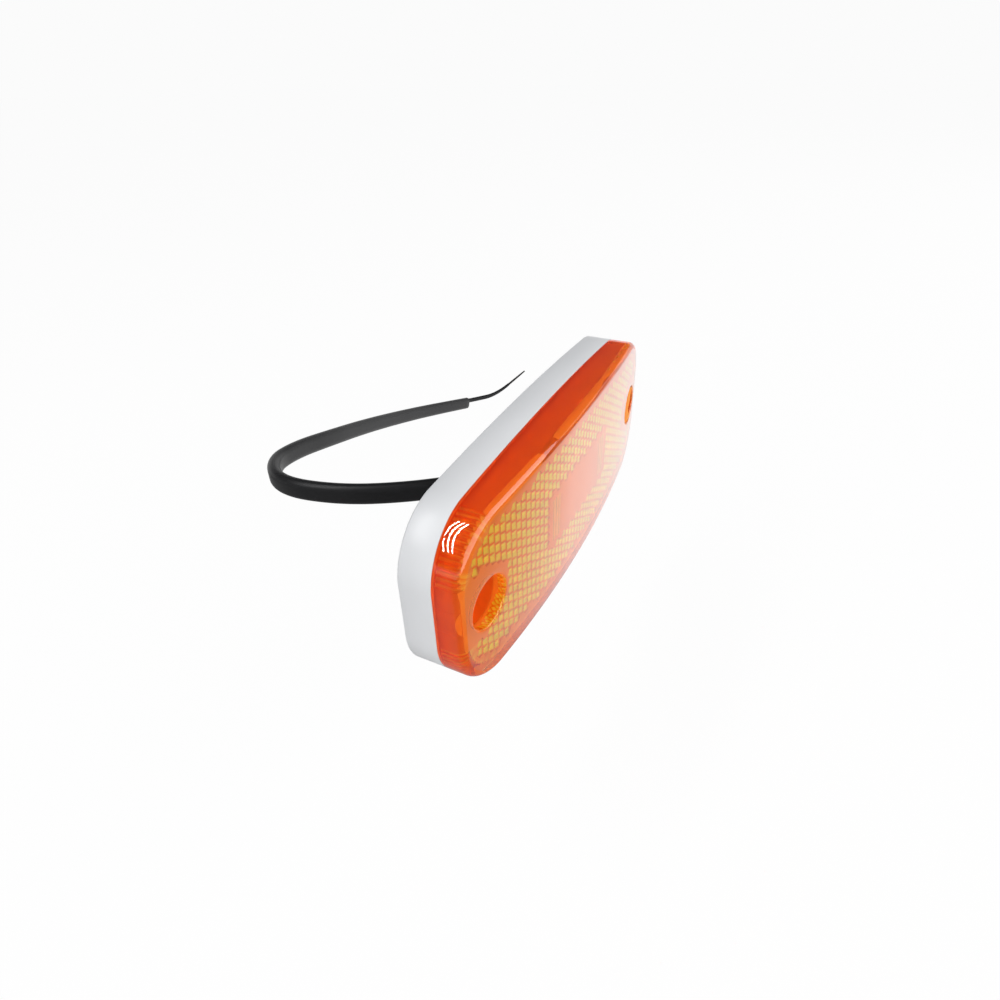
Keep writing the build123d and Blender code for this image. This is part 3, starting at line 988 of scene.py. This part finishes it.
lens_skin, lens_finish, lens_faces, lens_points = lens_surfaces()
make_piece(
    "lens_moulding",
    lens_skin,
    lens_ambers,
    ["lens"],
    finish=lens_finish,
    face_marks=lens_faces,
    point_marks=lens_points,
)
make_piece("housing_tray", housing_surfaces(), [housing_plastic], ["housing"])
make_piece("grommet_ring", grommet_surfaces(), [grommet_rubber], ["grommet"])

sheath_line = cord_line(sheath_route)
sheath_skin = tube(sheath_line, sheath_section(), sheath_rounding)
sheath = make_piece("cable_run", [sheath_skin], [sheath_plastic], ["cable_sheath"])
end_way = unit(sheath_route[-1] - sheath_route[-2])
core_start = sheath_route[-1] + core_offset * upright(end_way)
core_route = np.vstack((core_start, core_start + core_first_run * end_way, core_bends))
core_line = cord_line(core_route)
core_section = core_diameter / 2 * compass(core_steps)
core_skin = tube(core_line, core_section, core_rounding, taper=core_taper)
core = make_piece("core_run", [core_skin], [core_plastic], ["core"])
bare_way = unit(core_route[-1] - core_route[-2])
bare_skin = strands(core_route[-1], bare_way, bare_length)
bare = make_piece("bare_strands", bare_skin, [strand_metal], ["bare_end"])


# Camera, light and floor


def photo_camera():
    """The photograph's pinhole: a place, a turn by azimuth, elevation and roll, and a shift."""
    place = (-0.120820, -0.056294, 0.085025)
    azimuth, elevation, roll = radians(-63.068), radians(32.135), radians(-1.630)
    focal_px, centre_px, frame_px = 639.488, (503.855, 465.342), 1000.0
    flat = cos(elevation)
    back = np.array((sin(azimuth) * flat, -cos(azimuth) * flat, sin(elevation)))
    right = unit(np.cross((0, 0, 1), back))
    up = np.cross(back, right)
    rolled_right = cos(roll) * right + sin(roll) * up
    rolled_up = -sin(roll) * right + cos(roll) * up
    turn = Matrix(np.column_stack((rolled_right, rolled_up, back)).tolist()).to_4x4()
    data = bpy.data.cameras.new("photo_camera")
    data.sensor_width = 36.0
    data.lens = focal_px / frame_px * data.sensor_width
    data.shift_x = (frame_px / 2 - centre_px[0]) / frame_px
    data.shift_y = (centre_px[1] - frame_px / 2) / frame_px
    data.clip_start = 0.005
    camera = bpy.data.objects.new("photo_camera", data)
    camera.matrix_world = Matrix.Translation(place) @ turn
    bpy.context.scene.collection.objects.link(camera)
    bpy.context.scene.camera = camera


def area_light(name, place, target, size, power, along=(1, 0, 0)):
    """A soft box at a place, facing a target, its length turned towards a direction."""
    data = bpy.data.lights.new(name, "AREA")
    data.shape = "RECTANGLE"
    data.size, data.size_y = size
    data.energy = power
    back = unit(np.array(place) - np.array(target))
    length_way = unit(np.array(along) - back * np.dot(along, back))
    turn = np.column_stack((length_way, np.cross(back, length_way), back))
    light = bpy.data.objects.new(name, data)
    light.matrix_world = Matrix.Translation(place) @ Matrix(turn.tolist()).to_4x4()
    bpy.context.scene.collection.objects.link(light)


def pale_floor():
    """A wide floor under the cable, white to the camera and to glossy or clear surfaces.

    A small share stays matt and keeps the shadow. To glossy rays the white falls off along one
    direction and towards the near end of the lamp: painted shade that only reflections show.
    """
    floor_tone, white_share, floor_reach, floor_drop = 0.86, 0.96, 6.0, 20 * mm
    # fall and near dim the white that glossy rays see: painted shade on the floor for the lens
    # face's reflection
    fall_way, fall_start, fall_end, fall_low = (1.0, 2.6, 0.0), -0.191, -0.051, 0.12
    near_start, near_end, near_low = 0.0, 0.04, 0.35
    material = bpy.data.materials.new("pale_floor")
    material.use_nodes = True
    tree = material.node_tree
    nodes, links = tree.nodes, tree.links
    nodes.clear()
    matt = nodes.new("ShaderNodeBsdfDiffuse")
    matt.inputs["Color"].default_value = (floor_tone, floor_tone, floor_tone, 1)
    place = nodes.new("ShaderNodeTexCoord").outputs["Object"]
    across = nodes.new("ShaderNodeVectorMath")
    across.operation = "DOT_PRODUCT"
    across.inputs[1].default_value = fall_way
    links.new(place, across.inputs[0])
    fall = map_range(tree, across.outputs["Value"], fall_start, fall_end, low=fall_low)
    split = nodes.new("ShaderNodeSeparateXYZ")
    links.new(place, split.inputs[0])
    near = map_range(tree, split.outputs["X"], near_start, near_end, low=near_low)
    ray = nodes.new("ShaderNodeLightPath").outputs
    direct = math_node(tree, "MAXIMUM", ray["Is Camera Ray"], ray["Is Transmission Ray"])
    reflected_white_painted_shade = math_node(tree, "MINIMUM", fall, near)
    white = nodes.new("ShaderNodeEmission")
    links.new(math_node(tree, "MAXIMUM", reflected_white_painted_shade, direct), white.inputs["Strength"])
    clear = math_node(tree, "MAXIMUM", direct, ray["Is Glossy Ray"])
    mix = nodes.new("ShaderNodeMixShader")
    links.new(math_node(tree, "MULTIPLY", clear, white_share), mix.inputs["Fac"])
    links.new(matt.outputs[0], mix.inputs[1])
    links.new(white.outputs[0], mix.inputs[2])
    out = nodes.new("ShaderNodeOutputMaterial")
    links.new(mix.outputs[0], out.inputs["Surface"])
    level = cad_box[0].z - floor_drop
    square = ((-1, -1), (1, -1), (1, 1), (-1, 1))
    corners = [(x * floor_reach, y * floor_reach, level) for x, y in square]
    mesh = bpy.data.meshes.new("pale_floor")
    mesh.from_pydata(corners, [], [(0, 1, 2, 3)])
    mesh.materials.append(material)
    floor = bpy.data.objects.new("pale_floor", mesh)
    bpy.context.scene.collection.objects.link(floor)


def studio_world():
    """As white as the far floor to the camera.

    For light it is white up to a little above the horizon, then dim.
    """
    seen_white, dim = (0.965, 0.965, 0.965), (0.10, 0.10, 0.104)
    white_end, dim_start = 0.115, 0.2
    world = bpy.data.worlds.new("studio")
    bpy.context.scene.world = world
    world.use_nodes = True
    tree = world.node_tree
    place = tree.nodes.new("ShaderNodeTexCoord")
    split = tree.nodes.new("ShaderNodeSeparateXYZ")
    tree.links.new(place.outputs["Generated"], split.inputs[0])
    ramp = tree.nodes.new("ShaderNodeValToRGB")
    first, last = ramp.color_ramp.elements
    first.position, first.color = white_end, (1, 1, 1, 1)
    last.position, last.color = dim_start, (*dim, 1)
    tree.links.new(split.outputs["Z"], ramp.inputs["Fac"])
    ray = tree.nodes.new("ShaderNodeLightPath").outputs
    colour = colour_mix(tree, ray["Is Camera Ray"], ramp.outputs["Color"], seen_white)
    tree.links.new(colour, tree.nodes["Background"].inputs["Color"])


photo_camera()
studio_world()
pale_floor()
strip_count, strip_pitch, strip_power = 3, 0.021, 0.68
strip_x, strip_first_y, strip_z = -0.30, 0.208, 0.48
strip_target, strip_size, strip_way = (-0.03, 0, 0), (0.5, 0.0045), (0.84, 0, 0.54)
for strip in range(strip_count):
    place = (strip_x, strip_first_y + strip_pitch * strip, strip_z)
    name = f"key_strip_{strip + 1}"
    area_light(name, place, strip_target, strip_size, strip_power, along=strip_way)
fill_place, fill_size, fill_power = (0.0, -1.0, 0.40), (2.4, 1.2), 26.0
area_light("front_fill", fill_place, (0, 0, 0), fill_size, fill_power)

clear_bounces, matt_bounces = 28, 6
bpy.context.scene.view_settings.view_transform = "Standard"
for kind in ("max_bounces", "glossy_bounces", "transmission_bounces"):
    setattr(bpy.context.scene.cycles, kind, clear_bounces)
bpy.context.scene.cycles.diffuse_bounces = matt_bounces
